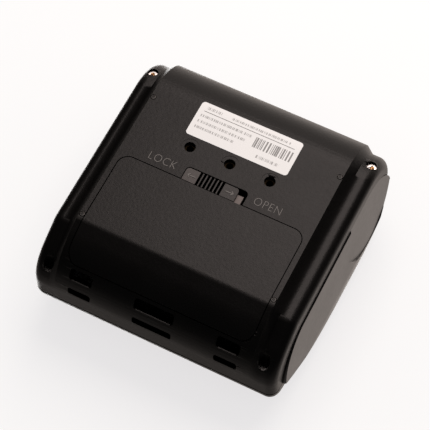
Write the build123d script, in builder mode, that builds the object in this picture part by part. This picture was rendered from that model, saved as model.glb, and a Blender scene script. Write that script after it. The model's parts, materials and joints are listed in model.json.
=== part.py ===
from build123d import *
from math import asin, atan2, cos, degrees, hypot, pi, radians, sin, sqrt, tan
import os

os.makedirs("parts", exist_ok=True)

# Portable label printer, upright: +Z is the lid side, -Y the front with the
# paper exit, the origin lies under the middle of the body at the nub tips.

# Outer body
half_length = 60.1       # front face from the middle
seam_z = 35.9            # parting plane of the two shells
nub_h = 0.4              # the belly stands this far off the table
wall = 2.2               # shell walls
rim_gap = 0.9            # height of the shadow groove at the seam
rim_depth = 0.9

# Belly plateau in side view
belly_half = 46.0        # half width of the flat belly
belly_front_r = 26.0     # lower front curve
belly_front_z = 26.9     # height of that curve's centre
belly_facet = 20.0       # slope of the front facet, degrees
belly_rear_r = 27.1      # rear curve round the paper roll
crease_r = 6.0           # softening of the crease at the facet

# Side rails, one step above the belly
rail_z = 4.85
rail_start = belly_half + 3.4   # foot of the slanted step
rail_front_r = 20.0
rail_front_z = 28.35
rail_facet = 28.0
rail_rear_r = 22.65
rail_rear_y = half_length - 25.1
side_at_seam = belly_half + 12.2   # half width at the seam
side_draft = 2.2         # the side walls lean, degrees
edge_r = 4.6             # rounding along the outer edges
roll_z = 27.5            # height of the roll axis and of the rear curves

# Roof
deck_slope = 12.0        # front deck
roof_slope = 7.5         # lid and cheeks
bend_y = 32.1 - half_length        # where the two slopes meet
bend_z = 52.8
bend_r = 40.0
brow_r = 12.0            # upper front curve

# Side panels
panel_seat = side_at_seam - 1.7    # floor of the panel's recess, from the middle
panel_gap = 0.25
panel_low_x = side_at_seam - 0.3   # outer face at the panel's lower edge
panel_low_z = 14.0
panel_lean = 5.2         # the face leans outwards, degrees
panel_edge = 0.6
panel_reach = 8.0        # more than the panel's thickness
dish_r = 22.5
dish_depth = 0.8
dish_slope = 30.0
leaf_nose = (7.4 - half_length, 36.0)
leaf_brow = (36.1 - half_length, 48.4)
leaf_crown = (12.0, 55.2)
leaf_tail_top = (half_length - 17.1, 49.0)
leaf_tail = (half_length - 4.7, 31.0)
leaf_heel = (half_length - 13.1, 18.8)
leaf_sole_rear = (half_length - 32.1, 13.6)
leaf_sole_front = (26.1 - half_length, 14.6)
leaf_chin = (12.6 - half_length, 22.6)

# Lid and its hinge
lid_gap = 0.3
lid_wall = 2.0
lid_front_y = bend_y + 1.2
lid_skirt = 8.0
hinge_y = half_length - 6.9
hinge_z = 38.5
pin_r = 1.5
run_gap = 0.05           # running fit on pins and shafts
barrel_r = 4.2
barrel_clear = 0.75

# Chassis
plate_in = belly_half - 5.0        # inner face of the side plates
plate_t = 1.6
cradle_r = 23.0
cradle_t = 1.5

# Platen, gears and motor
platen_y = bend_y + 5.5
platen_z = 44.5
platen_r = 5.0
roller_edge = 0.5
platen_half = plate_in - 3.2
shaft_r = 2.0
bush_r = 3.5
arm_in = plate_in - 2.6
arm_t = 1.6
gear_room = 6.9
gear_module = 0.7
platen_teeth = 16
idler_teeth = 20
pinion_teeth = 12
gear_in = plate_in + 2.1
gear_t = 2.8
motor_y = platen_y - 22.3
motor_z = 37.0
motor_r = 9.5
motor_len = 16.0
motor_edge = 0.7
motor_boss_r = 3.0
motor_boss_l = 1.2
motor_shaft_r = 1.0
axle_r = 1.5

# Roof openings, buttons and lights
exit_gap = 3.5           # paper slit between deck and lid
cheek_wall = 1.5
button_r = 4.5
button_gap = 0.25
button_len = 6.0
button_edge = 0.5
button_proud = 0.9
button_travel = 0.8
button_y = 15.1 - half_length
power_x = -30.0
feed_x = -12.0
light_x = 1.0
light_pitch = 6.0
light_r = 1.0
release_x = -belly_half - 5.4
release_y = bend_y + 18.0
release_w = 7.0
release_l = 16.0
release_travel = 3.0
release_sink = 1.0
release_proud = 0.85
release_stem_w = 2.4
release_stem_l = 9.0
release_play = 0.4
nose_half = 3.0
grip_grooves = 5
grip_pitch = 2.2
grip_depth = 0.4
hook_z = 49.0
hook_half = 0.8

# Chassis plates, guide deck, sensor and feet
plate_low_z = 27.0
plate_front_y = 6.1 - half_length
plate_nose_z = 39.5
plate_brow_z = 44.8
plate_top_z = 48.2
plate_dip_z = 44.0
plate_rear_z = 43.0
notch_top_z = 49.0
guide_low_z = 34.6
guide_tip_y = platen_y + 7.5
guide_tip_z = 43.4
sensor_y = platen_y + 19.0
sensor_half = 3.0
sensor_l = 4.2
sensor_z0 = 35.2
sensor_z1 = 38.3
foot_x = plate_in + 6.5
foot_ys = (-12.0, 20.0)
foot_half = 3.2
foot_boss_r = 3.2
foot_screw_r = 1.0
foot_screw_len = 8.0
foot_t = 1.6
board_post_r = 2.2
post_pilot = 4.0

# Boards
board_half = plate_in - 1.5
board_gap = 0.3
board_t = 1.6
board_front_y = 17.6 - half_length
board_rear_y = -5.0
buzzer_x = 11.5 - board_half
buzzer_y = board_rear_y - 9.0
buzzer_r = 4.5
buzzer_h = 3.2
panel_board_t = 1.2
panel_board_drop = 7.8
panel_board_x0 = -37.0
panel_board_x1 = 20.5
panel_board_l = 11.0
board_post_xs = (-21.0, 17.4)

# Side sockets and pegs
usb_half = 3.9
usb_h = 2.6
usb_gap = 0.3
usb_y = bend_y - 2.0
usb_z = 27.7
usb_window = 9.0
usb_window_h = 4.2
peg_r = 1.5
peg_gap = 0.1
panel_pegs = ((-18.0, 27.0), (20.0, 24.0))

# Print head
head_gap = 0.3
head_t = 1.0
head_half = plate_in - 3.5
head_z0 = 38.0
head_z1 = 49.0
sink_t = 2.0
beam_y = platen_y - 11.9
beam_h = 9.0
spring_xs = (-18.0, 18.0)
spring_w = 5.0
spring_t = 0.3
spring_h = 7.0
notch_gap = 0.3
lug_r = 3.6
tear_half = plate_in + 1.0
tear_pitch = 1.5
tear_tooth = 0.7
tear_t = 0.7

# Battery bay
cover_half = belly_half - 2.7
cover_rear_y = -1.3
cover_front_z = 9.6
cover_t = 2.0
cover_gap = 0.4
bay_half = belly_half - 9.5
bay_front_y = 16.9 - half_length
bay_rear_y = -2.8
bay_top_z = 22.9
bay_wall = 1.6
pack_gap = 1.2

# Latch of the battery cover
latch_well_x0 = -13.7
latch_well_x1 = 15.7
latch_well_y1 = 5.8
latch_well_top = 4.2
latch_len = 24.7
latch_travel = 3.9
tongue_len = 2.8
tongue_z0 = 2.1
tongue_t = 1.2
tongue_gap = 0.3
latch_gap = 0.3
latch_end_gap = 0.35
latch_side_gap = 0.4
latch_sink = 0.3
latch_end = 6.5
latch_ribs = 6
rib_pitch = 1.75
rib_groove = 1.2         # gap between two ribs
rib_depth = 1.5
latch_corner_r = 1.4
well_corner_r = 2.0
latch_top = 3.9
tongue_side = 2.4        # the tongue is narrower than the latch
catch_x = 6.0
catch_half = 5.0
catch_t = 2.1
catch_top = 4.6
catch_room = 1.6
nose_z0 = 3.05
nose_t = 0.7
hook_play = 0.15
contact_z = 14.0
contact_xs = (-14.0, -7.0, 7.0, 14.0)
cover_clear = 1.6
cover_corner_r = 5.0
cover_len = half_length - 6.8 + cover_rear_y

# Screws and inserts
screw_r = 1.25
screw_head_r = 2.3
screw_well_r = 2.5
screw_play = 0.2
rear_screw = (side_at_seam - 5.1, half_length - 15.7)
front_screw = (side_at_seam - 7.4, 4.9 - half_length)
rear_seat_z = 11.4
front_seat_z = 22.0
web_t = 1.8              # floor under each screw head
boss_r = 4.2
post_r = 2.4
post_gap = 0.2
screw_len = 10.0
screw_head_t = 1.6
insert_y = 14.4
insert_pitch = 19.0
insert_hole_r = 2.5
insert_bore_r = 1.65
insert_z0 = 2.6
insert_len = 4.4
insert_boss_r = 4.0
insert_boss_z = 7.4
ring_r = 4.0
ring_depth = 0.15

# Nubs and vents
nub_r = 0.8
nub_x = belly_half - 1.3
nub_ys = (-34.6, 29.6)
vent_rows = ((11.1, 16.2), (21.0, 25.4))
vent_spans = ((-40.0, -29.3), (-9.25, 9.25), (29.3, 40.0))
vent_corner_r = 1.2

# Label on the belly
label_half = 24.2
label_y0 = 19.7
label_y1 = 37.6
label_t = 0.15

X_SIDES = (-1, 1)


def polar(cy, cz, r, angle):
    return (cy + r * cos(radians(angle)), cz + r * sin(radians(angle)))


def crease_centre(front_y, front_z, front_r, facet, floor_z):
    """Centre of the arc that joins a facet, tangent to the front curve, to the floor."""
    y, z = polar(front_y, front_z, front_r, 270 - facet)
    corner = y + (z - floor_z) / tan(radians(facet))
    return (corner + crease_r * tan(radians(facet / 2)), floor_z + crease_r)


def lower_arcs(front_z, front_r, facet, floor_z, rear_y, rear_r):
    """Arcs of the lower outline in side view, from the front round the floor to the rear."""
    front_y = front_r - half_length
    cy, cz = crease_centre(front_y, front_z, front_r, facet, floor_z)
    rear_z = floor_z + rear_r
    rear_end = 360 + degrees(asin((seam_z - rear_z) / rear_r))
    return [
        (front_y, front_z, front_r, 180, 270 - facet),
        (cy, cz, crease_r, 270 - facet, 270),
        (rear_y, rear_z, rear_r, 270, rear_end),
    ]


def upper_arcs(rear_y, rear_z, rear_r):
    """Arcs of the roof outline in side view, from the front over the roof to the rear."""
    brow_y = brow_r - half_length
    deck_at_brow = bend_z - (bend_y - brow_y) * tan(radians(deck_slope))
    brow_z = deck_at_brow - brow_r / cos(radians(deck_slope))
    half_turn = radians(deck_slope - roof_slope) / 2
    lean = radians(deck_slope + roof_slope) / 2
    drop = bend_r / cos(half_turn)
    by, bz = (bend_y + drop * sin(lean), bend_z - drop * cos(lean))
    rear_end = degrees(asin((seam_z - rear_z) / rear_r))
    sy, sz = polar(rear_y, rear_z, rear_r, rear_end)
    ny, nz = (-sin(radians(roof_slope)), cos(radians(roof_slope)))
    uy, uz = (cos(radians(rear_end)), sin(radians(rear_end)))
    reach = (bend_y - sy) * ny + (bend_z - sz) * nz
    roof_r = reach / (1 - uy * ny - uz * nz)
    return [
        (brow_y, brow_z, brow_r, 180, 90 + deck_slope),
        (by, bz, bend_r, 90 + deck_slope, 90 + roof_slope),
        (sy - roof_r * uy, sz - roof_r * uz, roof_r, 90 + roof_slope, rear_end),
    ]


belly_rear_y = half_length - belly_rear_r
belly_arcs = lower_arcs(belly_front_z, belly_front_r, belly_facet, nub_h, belly_rear_y, belly_rear_r)
rail_arcs = lower_arcs(rail_front_z, rail_front_r, rail_facet, rail_z, rail_rear_y, rail_rear_r)
lid_arcs = upper_arcs(belly_rear_y, nub_h + belly_rear_r, belly_rear_r)
cheek_arcs = upper_arcs(rail_rear_y, rail_z + rail_rear_r, rail_rear_r)


def section(arcs, inset, base, x=0.0):
    """Face across the body at x: the arcs moved inwards by inset, closed by a line at height base."""
    with BuildSketch(Plane.YZ.offset(x)) as face:
        with BuildLine():
            ends = []
            for cy, cz, r, a0, a1 in arcs:
                CenterArc((cy, cz), r - inset, a0, a1 - a0)
                ends.append((polar(cy, cz, r - inset, a0), polar(cy, cz, r - inset, a1)))
            for before, after in zip(ends, ends[1:]):
                Line(before[1], after[0])
            first = ends[0][0]
            last = ends[-1][1]
            if abs(last[1] - base) > 1e-6:
                Line(last, (last[0], base))
            Line((last[0], base), (first[0], base))
            if abs(first[1] - base) > 1e-6:
                Line((first[0], base), first)
        make_face()
    return face.sketch


def side_frame(z_flat, z_seam, direction):
    """Trapezoid across the body, leaning with the side walls away from the seam."""
    reach = abs(z_flat - z_seam)
    narrow = side_at_seam - reach * tan(radians(side_draft))
    with BuildSketch(Plane.XZ) as face:
        with BuildLine():
            Polyline(
                (-side_at_seam, z_seam),
                (side_at_seam, z_seam),
                (narrow, z_seam + direction * reach),
                (-narrow, z_seam + direction * reach),
                close=True,
            )
        make_face()
    return face.sketch


def yz_disc(x0, x1, y, z, r):
    """Round solid along X, made apart from the part that uses it."""
    return Pos((x0 + x1) / 2, y, z) * Rot(0, 90, 0) * Cylinder(r, abs(x1 - x0), mode=Mode.PRIVATE)


def block(x0, x1, y0, y1, z0, z1, mode=Mode.ADD):
    """Box between two corners."""
    with Locations(((x0 + x1) / 2, (y0 + y1) / 2, (z0 + z1) / 2)):
        Box(abs(x1 - x0), abs(y1 - y0), abs(z1 - z0), mode=mode)


def save(part, label):
    part.label = label
    export_step(part, f"parts/{label}.step")


def shell_rail(arcs, z_far, direction):
    """The full-width body of one shell, with its long outer edges rounded."""
    with BuildPart() as rail:
        extrude(section(arcs, 0, seam_z), amount=side_at_seam + 2, both=True)
        extrude(side_frame(z_far, seam_z, direction), amount=half_length + 10, both=True, mode=Mode.INTERSECT)
        sides = rail.faces().filter_by(lambda f: abs(f.normal_at().X) > 0.9)
        rounded = ShapeList(e for f in sides for e in f.edges() if abs(e.center().Z - seam_z) > 0.01)
        fillet(rounded, edge_r)
    return rail.part



def belly_skin(outer, inner, half, front_angle, rear_y):
    """A skin that follows the belly, cut square to its front curve and at rear_y."""
    cy, cz, r, a0, a1 = belly_arcs[0]
    far = 2 * r
    tip_y, tip_z = polar(cy, cz, far, front_angle)
    with BuildPart() as skin:
        extrude(section(belly_arcs, outer, seam_z), amount=half, both=True)
        extrude(section(belly_arcs, inner, seam_z + 1), amount=half + 1, both=True, mode=Mode.SUBTRACT)
        with BuildSketch(Plane.YZ):
            with BuildLine():
                Polyline((cy, cz), (tip_y, tip_z), (tip_y, -far), (rear_y, -far), (rear_y, cz), close=True)
            make_face()
        extrude(amount=half + 1, both=True, mode=Mode.INTERSECT)
    return skin.part


def leaf(grow, x0, x1):
    """The side panel's outline, grown all round, as a solid between two planes."""
    with BuildPart() as solid:
        with BuildSketch(Plane.YZ.offset(x0)):
            with BuildLine():
                ThreePointArc(leaf_nose, leaf_brow, leaf_crown)
                ThreePointArc(leaf_crown, leaf_tail_top, leaf_tail)
                ThreePointArc(leaf_tail, leaf_heel, leaf_sole_rear)
                Line(leaf_sole_rear, leaf_sole_front)
                ThreePointArc(leaf_sole_front, leaf_chin, leaf_nose)
            make_face()
            if grow:
                offset(amount=grow, kind=Kind.ARC)
        extrude(amount=x1 - x0)
    return solid.part


with BuildPart() as low_body:
    add(shell_rail(rail_arcs, 0, -1))
    extrude(section(belly_arcs, 0, seam_z), amount=belly_half, both=True)
    loft([section(belly_arcs, 0, seam_z, belly_half), section(rail_arcs, 0, seam_z, rail_start)], ruled=True)
    mirror(about=Plane.YZ)

with BuildPart() as high_body:
    add(shell_rail(cheek_arcs, 62, 1))
    extrude(section(lid_arcs, 0, seam_z), amount=belly_half, both=True)
    loft([section(lid_arcs, 0, seam_z, belly_half), section(cheek_arcs, 0, seam_z, rail_start)], ruled=True)
    mirror(about=Plane.YZ)

cavity_half = panel_seat - wall
rim_half = side_at_seam - rim_depth
rim_front_y = half_length - rim_depth
rim_rear_y = belly_rear_y + sqrt(belly_rear_r ** 2 - (seam_z - nub_h - belly_rear_r) ** 2) - rim_depth
front_angle = 180 + degrees(asin((belly_front_z - cover_front_z) / belly_front_r))
gap_angle = degrees(cover_gap / belly_front_r)

insert_spots = [(i * insert_pitch, insert_y) for i in (-1, 0, 1)]
foot_spots = [(side * foot_x, y) for side in X_SIDES for y in foot_ys]
screw_spots = [(side * x, y, seat) for side in X_SIDES
               for (x, y), seat in ((rear_screw, rear_seat_z), (front_screw, front_seat_z))]
latch_x1 = latch_well_x1 - latch_end_gap
latch_x0 = latch_x1 - latch_len
tongue_tip = latch_x0 - tongue_len - latch_travel - tongue_gap
usb_room = usb_half + usb_gap
usb_low = usb_z - usb_h / 2
usb_high = usb_z + usb_h / 2


def pillar(x, y, z0, z1, r):
    """Upright cylinder between two heights."""
    with Locations((x, y, (z0 + z1) / 2)):
        Cylinder(r, z1 - z0)


# Bosses inside the bottom shell, trimmed to the outer body
with BuildPart() as low_bosses:
    for x, y, seat in screw_spots:
        pillar(x, y, 0, seam_z, boss_r)
    for x, y in insert_spots:
        pillar(x, y, 0, insert_boss_z, insert_boss_r)
    for x, y in foot_spots:
        pillar(x, y, 0, plate_low_z, foot_boss_r)
    block(-bay_half - bay_wall, bay_half + bay_wall, bay_front_y - bay_wall, bay_rear_y + bay_wall,
          0, bay_top_z + bay_wall)
    block(tongue_tip - bay_wall, latch_well_x1 + bay_wall, bay_rear_y, latch_well_y1 + bay_wall,
          0, latch_well_top + wall)
    add(low_body.part, mode=Mode.INTERSECT)

# The battery cover's outline from below, as a solid that is grown all round
def cover_outline(grow):
    with BuildPart() as outline:
        with BuildSketch(Plane.XY.offset(-1)):
            with Locations((0, cover_rear_y - cover_len / 2)):
                RectangleRounded(2 * (cover_half + grow), cover_len + 2 * grow, cover_corner_r + grow)
        extrude(amount=seam_z)
    return outline.part


with BuildPart() as cover_opening:
    add(belly_skin(-2, cover_t + cover_gap, cover_half + cover_gap, front_angle - gap_angle,
                   cover_rear_y + cover_gap))
    add(cover_outline(cover_gap), mode=Mode.INTERSECT)

# Everything that is cut out of the bottom shell and its bosses
with BuildPart() as low_cuts:
    add(cover_opening.part)
    block(-bay_half, bay_half, bay_front_y, bay_rear_y, -1, bay_top_z)
    # Latch well, the pocket for the latch's tongue and the way of the cover's catch
    with BuildSketch(Plane.XY.offset(-1)) as well:
        with Locations(((latch_well_x0 + latch_well_x1) / 2, (cover_rear_y + latch_well_y1) / 2)):
            Rectangle(latch_well_x1 - latch_well_x0, latch_well_y1 - cover_rear_y)
        fillet(well.vertices().group_by(Axis.Y)[-1], well_corner_r)
    extrude(amount=latch_well_top + 1)
    block(tongue_tip, latch_well_x0 + 1, cover_rear_y, latch_well_y1 - tongue_side + latch_side_gap,
          tongue_z0 - tongue_gap, tongue_z0 + tongue_t + tongue_gap)
    block(catch_x - catch_half - catch_room, catch_x + catch_half + catch_room, bay_rear_y - 1, cover_rear_y + 0.1,
          wall, catch_top + catch_room / 2)
    # Vent slots in the lower front curve
    with BuildSketch(Plane.XZ.offset(bay_wall - bay_front_y + 0.2)):
        for z0, z1 in vent_rows:
            for x0, x1 in vent_spans:
                with Locations(((x0 + x1) / 2, (z0 + z1) / 2)):
                    RectangleRounded(x1 - x0, z1 - z0, vent_corner_r)
    extrude(amount=half_length + 2)
    for x, y, seat in screw_spots:
        pillar(x, y, 0, seat, screw_well_r)
        pillar(x, y, seat - 1, seat + web_t + 1, screw_r + screw_play)
        pillar(x, y, seat + web_t, seam_z + 1, post_r + post_gap)
    for x, y in insert_spots:
        pillar(x, y, 0, insert_z0 + insert_len, insert_hole_r)
        pillar(x, y, 0, nub_h + ring_depth, ring_r)
    for x, y in foot_spots:
        pillar(x, y, plate_low_z - foot_screw_len, plate_low_z + 1, foot_screw_r)
    block(cavity_half - 1, panel_seat + 1, usb_y - usb_room, usb_y + usb_room, usb_low - usb_gap, usb_high + usb_gap)
    add(yz_disc(-belly_half - lid_gap, belly_half + lid_gap, hinge_y, hinge_z, barrel_r + barrel_clear))
    for side in X_SIDES:
        add(leaf(panel_gap, side * panel_seat, side * (panel_seat + panel_reach)))
        for y, z in panel_pegs:
            add(yz_disc(side * (cavity_half - 1), side * (panel_seat + 1), y, z, peg_r + peg_gap))

with BuildPart() as bottom_shell:
    add(low_body.part)
    extrude(section(belly_arcs, wall, seam_z + 5), amount=belly_half - wall, both=True, mode=Mode.SUBTRACT)
    extrude(section(rail_arcs, wall, seam_z + 5), amount=cavity_half, both=True, mode=Mode.SUBTRACT)
    add(low_bosses.part)
    add(belly_skin(wall / 2, cover_t + cover_gap + bay_wall, cover_half + bay_wall, front_angle - 6, 0))
    add(low_cuts.part, mode=Mode.SUBTRACT)
    for side in X_SIDES:
        for y in nub_ys:
            pillar(side * nub_x, y, 0, 2 * nub_h, nub_r)
save(bottom_shell.part, "bottom_shell")

# Roof features lie on the deck or on the lid's slope
def deck_z(y):
    return bend_z - (bend_y - y) * tan(radians(deck_slope))


def roof_line_z(y):
    return bend_z + (y - bend_y) * tan(radians(roof_slope))


def roof_plane(x, y, z, slope):
    """Plane on the roof at a point, its z axis square to the slope."""
    return Plane(origin=(x, y, z), x_dir=(1, 0, 0), z_dir=(0, -sin(radians(slope)), cos(radians(slope))))


deck_rear_y = lid_front_y - exit_gap
lid_half = belly_half
opening_half = lid_half + lid_gap
power_plane = roof_plane(power_x, button_y, deck_z(button_y), deck_slope)
feed_plane = roof_plane(feed_x, button_y, deck_z(button_y), deck_slope)
light_planes = [roof_plane(light_x + i * light_pitch, button_y, deck_z(button_y), deck_slope) for i in range(3)]
board_post_planes = [roof_plane(x, button_y, deck_z(button_y), deck_slope) for x in board_post_xs]
release_plane = roof_plane(release_x, release_y, roof_line_z(release_y), roof_slope)

# Posts inside the top shell that the case screws bite into
with BuildPart() as posts:
    for x, y, seat in screw_spots:
        pillar(x, y, seat + web_t, bend_z, post_r)
    low_part = split(bisect_by=Plane.XY.offset(seam_z), keep=Keep.BOTTOM, mode=Mode.PRIVATE)
    add(high_body.part, mode=Mode.INTERSECT)
    add(low_part)

# Everything that is cut out of the top shell and its posts
with BuildPart() as top_cuts:
    for x, y, seat in screw_spots:
        pillar(x, y, seat + web_t - 1, seat + web_t + screw_len, screw_r)
    for plane in board_post_planes:
        with BuildSketch(plane.offset(-panel_board_drop - 1)):
            Circle(foot_screw_r)
        extrude(amount=post_pilot + 1)
    for plane in (power_plane, feed_plane):
        with BuildSketch(plane.offset(-wall * 3)):
            Circle(button_r + button_gap)
        extrude(amount=wall * 5)
    for plane in light_planes:
        with BuildSketch(plane.offset(-wall * 2)):
            Circle(light_r)
        extrude(amount=wall * 4)
    # Track of the release slide, the slot under it and the way of its nose
    with BuildSketch(release_plane.offset(-release_sink)):
        Rectangle(release_w + 2 * button_gap, release_l + release_travel + 2 * button_gap)
    extrude(amount=wall * 3)
    with BuildSketch(release_plane.offset(-wall * 2)):
        Rectangle(release_stem_w + 2 * release_play, release_stem_l + release_travel + 2 * release_play)
    extrude(amount=wall * 3)
    block(-opening_half - cheek_wall - 1, -opening_half + 1, release_y - nose_half - release_travel - release_play,
          release_y + nose_half + release_travel + release_play, hook_z - hook_half - release_play,
          hook_z + hook_half + release_play)
    # Shadow line along the seam
    with BuildSketch(Plane.XY.offset(seam_z)):
        Rectangle(4 * half_length, 4 * half_length)
        with Locations((0, (rim_rear_y - rim_front_y) / 2)):
            RectangleRounded(2 * rim_half, rim_rear_y + rim_front_y, edge_r - 1, mode=Mode.SUBTRACT)
    extrude(amount=rim_gap)
    for side in X_SIDES:
        add(leaf(panel_gap, side * panel_seat, side * (panel_seat + panel_reach)))

with BuildPart() as top_shell:
    add(high_body.part)
    extrude(section(cheek_arcs, wall, seam_z - 5), amount=cavity_half, both=True, mode=Mode.SUBTRACT)
    # Inner walls of the two cheeks
    for side in X_SIDES:
        extrude(section(cheek_arcs, wall / 2, seam_z - 1, side * opening_half), amount=side * cheek_wall)
    split(bisect_by=Plane.XY.offset(seam_z), keep=Keep.TOP)
    with BuildSketch(Plane.XY.offset(seam_z)):
        with Locations((0, (deck_rear_y + half_length) / 2 + 5)):
            Rectangle(2 * opening_half, half_length - deck_rear_y + 10)
    extrude(amount=half_length, mode=Mode.SUBTRACT)
    add(posts.part)
    # Posts that carry the button board
    for plane in board_post_planes:
        with BuildSketch(plane.offset(-panel_board_drop)):
            Circle(board_post_r)
        extrude(amount=panel_board_drop - wall / 2)
    add(top_cuts.part, mode=Mode.SUBTRACT)
save(top_shell.part, "top_shell")

# Side panels, clipped into the leaf-shaped seats of the two shells
def side_panel(side, label):
    dish_y = rail_rear_y - 2
    lean = tan(radians(panel_lean))
    low_x, high_x, dish_x = [panel_low_x + (z - panel_low_z) * lean for z in (0, leaf_crown[1] - 11, roll_z)]
    knee_z = leaf_crown[1] - 11
    top_z = leaf_crown[1] + 7
    with BuildPart() as panel:
        add(leaf(0, panel_seat, panel_seat + panel_reach))
        # The outer face leans outwards and turns in at the top
        with BuildSketch(Plane.XZ):
            with BuildLine():
                Polyline((0, top_z), (0, 0), (low_x, 0), (high_x, knee_z))
                ThreePointArc((high_x, knee_z), (high_x - 0.1, knee_z + 6), (high_x - 1.6, top_z))
                Line((high_x - 1.6, top_z), (0, top_z))
            make_face()
        extrude(amount=half_length + 10, both=True, mode=Mode.INTERSECT)
        rim = panel.edges().filter_by(lambda e: e.center().X > panel_seat + 0.5)
        chamfer(rim, panel_edge)
        face = Plane(origin=(dish_x, dish_y, roll_z), x_dir=(0, 1, 0),
                     z_dir=(cos(radians(panel_lean)), 0, -sin(radians(panel_lean))))
        with BuildSketch(face.offset(-dish_depth)):
            Circle(dish_r)
        extrude(amount=panel_reach, taper=-dish_slope, mode=Mode.SUBTRACT)
        for y, z in panel_pegs:
            add(yz_disc(panel_seat - wall, panel_seat, y, z, peg_r))
        if side > 0:
            block(panel_seat - 1, panel_seat + panel_reach + 1, usb_y - usb_window / 2, usb_y + usb_window / 2,
                  usb_z - usb_window_h / 2, usb_z + usb_window_h / 2, mode=Mode.SUBTRACT)
    piece = panel.part if side > 0 else mirror(panel.part, about=Plane.YZ)
    save(piece, label)


side_panel(-1, "side_panel_left")
side_panel(1, "side_panel_right")

# Battery cover with its catch and the slots that finger tabs sit in
with BuildPart() as battery_cover:
    add(belly_skin(0, cover_t, cover_half, front_angle, cover_rear_y))
    add(cover_outline(0), mode=Mode.INTERSECT)
    block(catch_x - catch_half, catch_x + catch_half, cover_rear_y - catch_t - latch_gap, cover_rear_y - latch_gap,
          nub_h + cover_t - 0.2, catch_top)
    block(catch_x - catch_half - 1, catch_x + catch_half + 1, cover_rear_y - catch_t / 2 - latch_gap, cover_rear_y,
          nose_z0 - hook_play, nose_z0 + nose_t + hook_play, mode=Mode.SUBTRACT)
save(battery_cover.part, "battery_cover")

# Sliding latch, at its locked end
latch_front = cover_rear_y + latch_side_gap
with BuildPart() as battery_latch:
    block(latch_x0, latch_x1, latch_front, latch_well_y1 - latch_side_gap, nub_h + latch_sink, latch_top)
    fillet(battery_latch.edges().filter_by(Axis.Z).group_by(Axis.Y)[-1], latch_corner_r)
    rib_first = latch_x0 + latch_end
    with BuildSketch(Plane.XY.offset(nub_h + latch_sink)):
        for i in range(latch_ribs + 1):
            with Locations((rib_first + (i + 0.5) * rib_pitch, (cover_rear_y + latch_well_y1) / 2)):
                Rectangle(rib_groove, latch_well_y1 - cover_rear_y)
    extrude(amount=rib_depth, mode=Mode.SUBTRACT)
    # Tongue that slides under the belly, and the nose that holds the cover's catch
    block(latch_x0 - tongue_len, latch_x0 + latch_corner_r, latch_front, latch_well_y1 - tongue_side,
          tongue_z0, tongue_z0 + tongue_t)
    block(catch_x - catch_half + 1, catch_x + catch_half - 1, cover_rear_y, latch_front, nose_z0, nose_z0 + nose_t)
save(battery_latch.part, "battery_latch")

with BuildPart() as battery_pack:
    block(-bay_half + pack_gap, bay_half - pack_gap, bay_front_y + pack_gap, bay_rear_y - pack_gap,
          nub_h + cover_t + cover_clear, bay_top_z - pack_gap)
    fillet(battery_pack.edges().filter_by(Axis.X), 2.5)
    pads_y = bay_front_y + pack_gap
    with BuildSketch(Plane.XZ.offset(-pads_y)):
        with Locations(*[(x, contact_z) for x in contact_xs]):
            Rectangle(3.4, 4.0)
    extrude(amount=-0.4, mode=Mode.SUBTRACT)
save(battery_pack.part, "battery_pack")

# Sprung contacts between the bay's front wall and the pack
with BuildPart() as battery_contacts:
    for x in contact_xs:
        with BuildSketch(Plane.YZ.offset(x - 1)):
            with BuildLine():
                y0 = bay_front_y
                z0 = contact_z - 4
                Polyline((y0, z0), (y0 + 0.3, z0), (y0 + 0.3, z0 + 5), (y0 + pack_gap + 0.3, z0 + 4),
                         (y0 + pack_gap + 0.3, z0 + 4.4), (y0 + 0.3, z0 + 6), (y0, z0 + 6), close=True)
            make_face()
        extrude(amount=2)
save(battery_contacts.part, "battery_contacts")

with BuildPart() as belt_clip_inserts:
    with Locations(*[(i * insert_pitch, insert_y, insert_z0 + insert_len / 2) for i in (-1, 0, 1)]):
        Cylinder(insert_hole_r, insert_len)
        Cylinder(insert_bore_r, insert_len, mode=Mode.SUBTRACT)
save(belt_clip_inserts.part, "belt_clip_inserts")

with BuildPart() as rating_label:
    extrude(section(belly_arcs, -label_t, seam_z), amount=label_half, both=True)
    extrude(section(belly_arcs, 0, seam_z + 1), amount=label_half + 1, both=True, mode=Mode.SUBTRACT)
    with BuildSketch(Plane.XY.offset(-1)):
        with Locations((0, (label_y0 + label_y1) / 2)):
            RectangleRounded(2 * label_half, label_y1 - label_y0, 1.5)
    extrude(amount=8, mode=Mode.INTERSECT)
save(rating_label.part, "rating_label")

# Pan-head case screws with a cross recess
with BuildPart() as case_screws:
    for side in X_SIDES:
        for (x, y), seat in ((rear_screw, rear_seat_z), (front_screw, front_seat_z)):
            with Locations((side * x, y, seat - screw_head_t / 2)):
                Cylinder(screw_head_r, screw_head_t)
            with Locations((side * x, y, seat + screw_len / 2)):
                Cylinder(screw_r, screw_len)
            with Locations((side * x, y, seat - screw_head_t)):
                Box(2.6, 0.6, 1.2, mode=Mode.SUBTRACT)
                Box(0.6, 2.6, 1.2, mode=Mode.SUBTRACT)
save(case_screws.part, "case_screws")

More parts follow.
